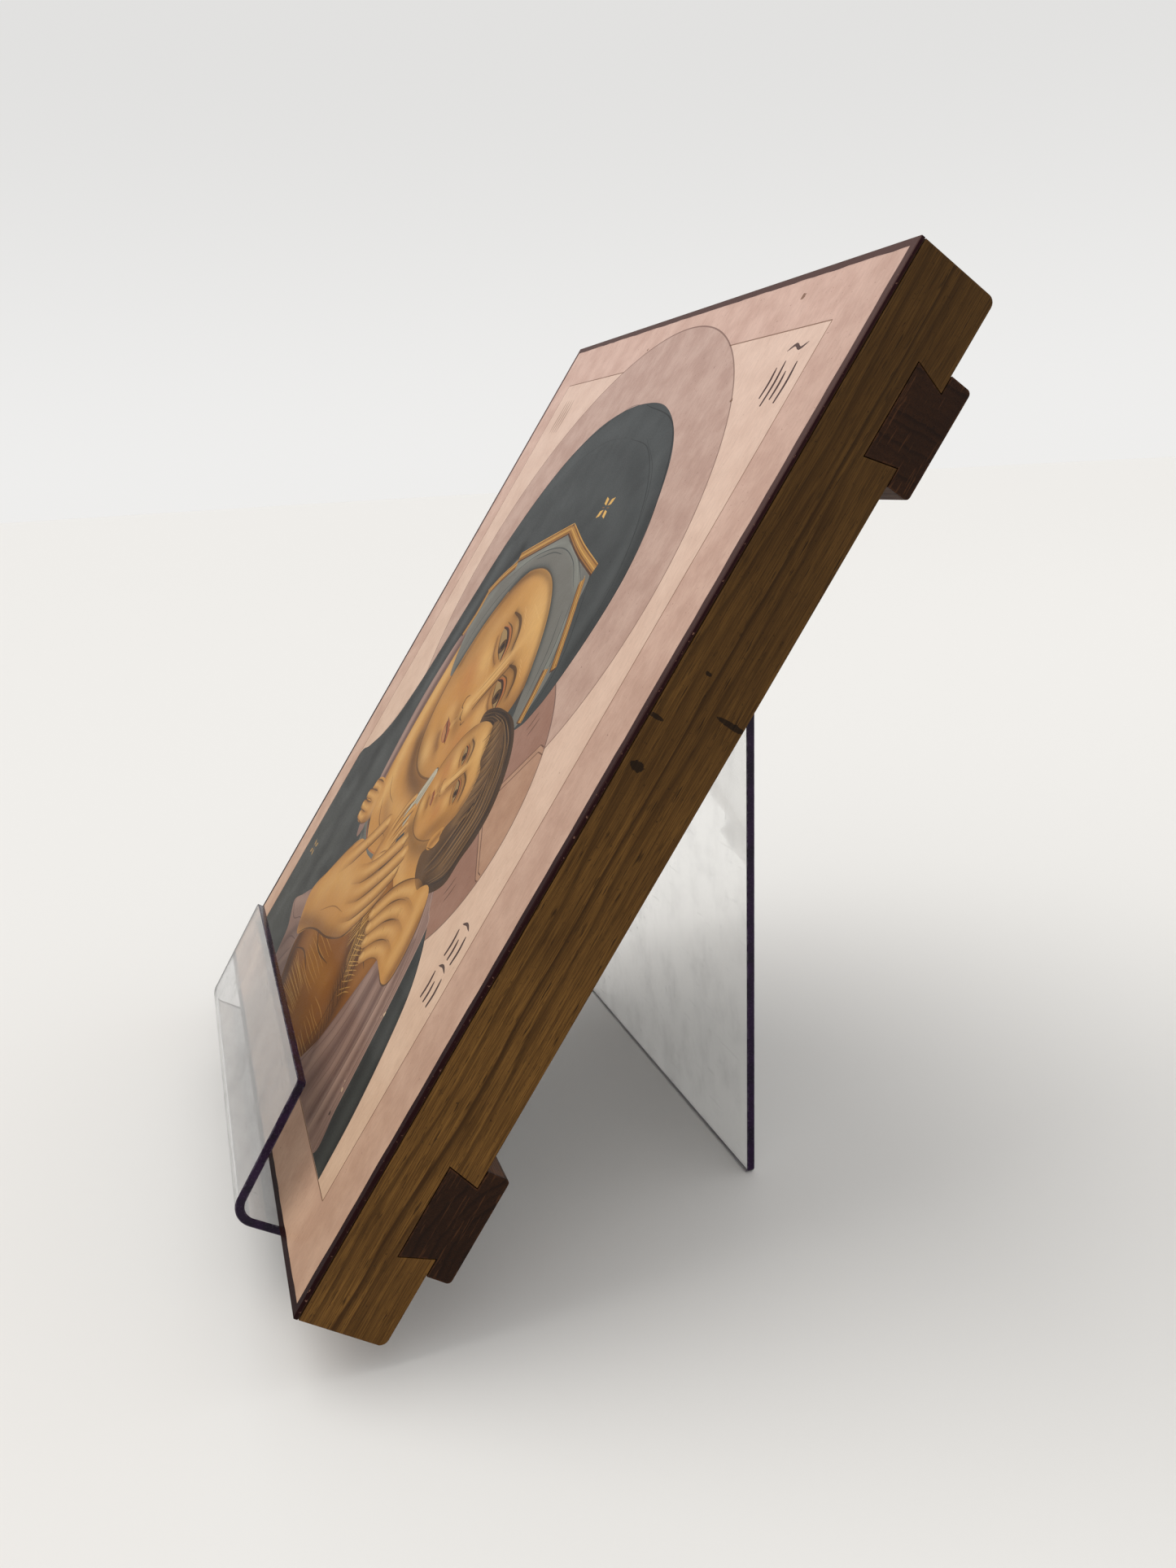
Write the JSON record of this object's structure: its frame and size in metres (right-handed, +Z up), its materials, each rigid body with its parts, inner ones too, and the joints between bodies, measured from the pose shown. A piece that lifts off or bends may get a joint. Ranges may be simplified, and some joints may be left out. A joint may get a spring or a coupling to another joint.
{
  "type": "religious icon",
  "caption": "Painted icon on a thick wooden board with dovetailed back battens, leaning on a bent clear easel.",
  "frame": {"origin": "on the surface it stands on, at the middle of the whole object's box", "axes": "+Z up, +Y from the picture towards the rear leg, +X to the viewer's right when facing the picture"},
  "size_m": [0.3, 0.2378, 0.3105],
  "materials": {
    "board_wood": "oiled ash-brown wood with open pores",
    "painted_ground": "egg tempera on a chalk ground under gloss varnish",
    "batten_wood": "dark red-brown stained hardwood",
    "clear_acrylic": "clear sheet with dark violet cut edges, handled and scratched"
  },
  "bodies": {
    "root": {"board": "board_wood", "painted_ground": "painted_ground", "upper_batten": "batten_wood", "lower_batten": "batten_wood", "easel": "clear_acrylic"}
  },
  "joints": []
}
